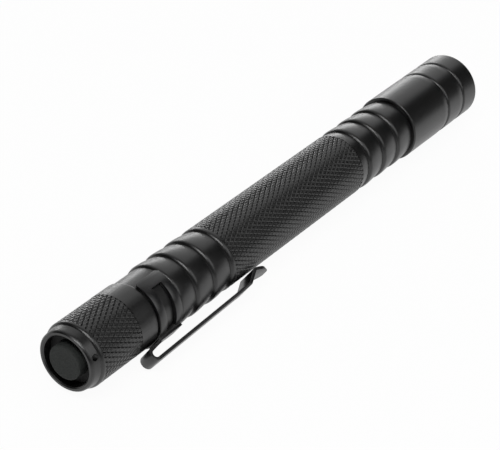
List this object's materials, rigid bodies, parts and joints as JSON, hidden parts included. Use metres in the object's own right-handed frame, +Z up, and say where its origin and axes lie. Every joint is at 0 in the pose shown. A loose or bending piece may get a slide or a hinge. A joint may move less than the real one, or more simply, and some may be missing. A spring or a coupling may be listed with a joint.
{
  "type": "penlight",
  "caption": "Black aluminium penlight for two AAA cells in line, with a knurled grip, tail button and pocket clip.",
  "frame": {"origin": "on the light's axis, at the front end of the bezel's cylindrical collar", "axes": "+Y along the axis towards the beam, +Z up with the light lying on its side, +X to the side of the clip"},
  "size_m": [0.0182, 0.1465, 0.0154],
  "materials": {
    "anodised": "matte black anodised",
    "clip_steel": "black coated spring steel",
    "spring_steel": "bright drawn wire",
    "black_rubber": "matte",
    "grey_rubber": "matte, finely grained",
    "nylon": "moulded",
    "green_board": "solder mask",
    "white_board": "white mask on metal core",
    "brass": "turned",
    "cell_can": "plain coated can",
    "phosphor": "silicone over phosphor",
    "mirror": "vapour-coated mirror",
    "glass": "clear"
  },
  "bodies": {
    "barrel": {"barrel": "anodised", "rear_cell": "cell_can", "front_cell": "cell_can", "tail_oring": "black_rubber", "head_oring": "black_rubber", "head": "anodised", "pill": "brass", "driver_board": "green_board", "positive_contact": "brass", "led_board": "white_board", "led_emitter": "phosphor", "reflector": "mirror", "lens": "glass", "lens_gasket": "black_rubber", "bezel_ring": "anodised"},
    "tail_cap": {"tail_cap": "anodised", "switch_boot": "black_rubber", "switch_body": "nylon", "switch_spring": "spring_steel", "switch_board": "green_board", "switch_retainer": "brass", "tail_spring": "spring_steel"},
    "button": {"button_pad": "grey_rubber", "switch_plunger": "nylon"},
    "clip": {"pocket_clip": "clip_steel"}
  },
  "joints": [
    {"name": "tail_cap_off", "type": "slide", "parent": "barrel", "child": "tail_cap", "axis": [0, -1, 0], "range_m": [0, 0.03]},
    {"name": "button_press", "type": "slide", "parent": "tail_cap", "child": "button", "axis": [0, 1, 0], "range_m": [0, 0.0013], "stiffness_N_per_m": 1500, "deforming": ["switch_spring"]},
    {"name": "clip_swivel", "type": "hinge", "parent": "barrel", "child": "clip", "pos_m": [0, -0.12205, 0], "axis": [0, 1, 0], "continuous": true}
  ]
}
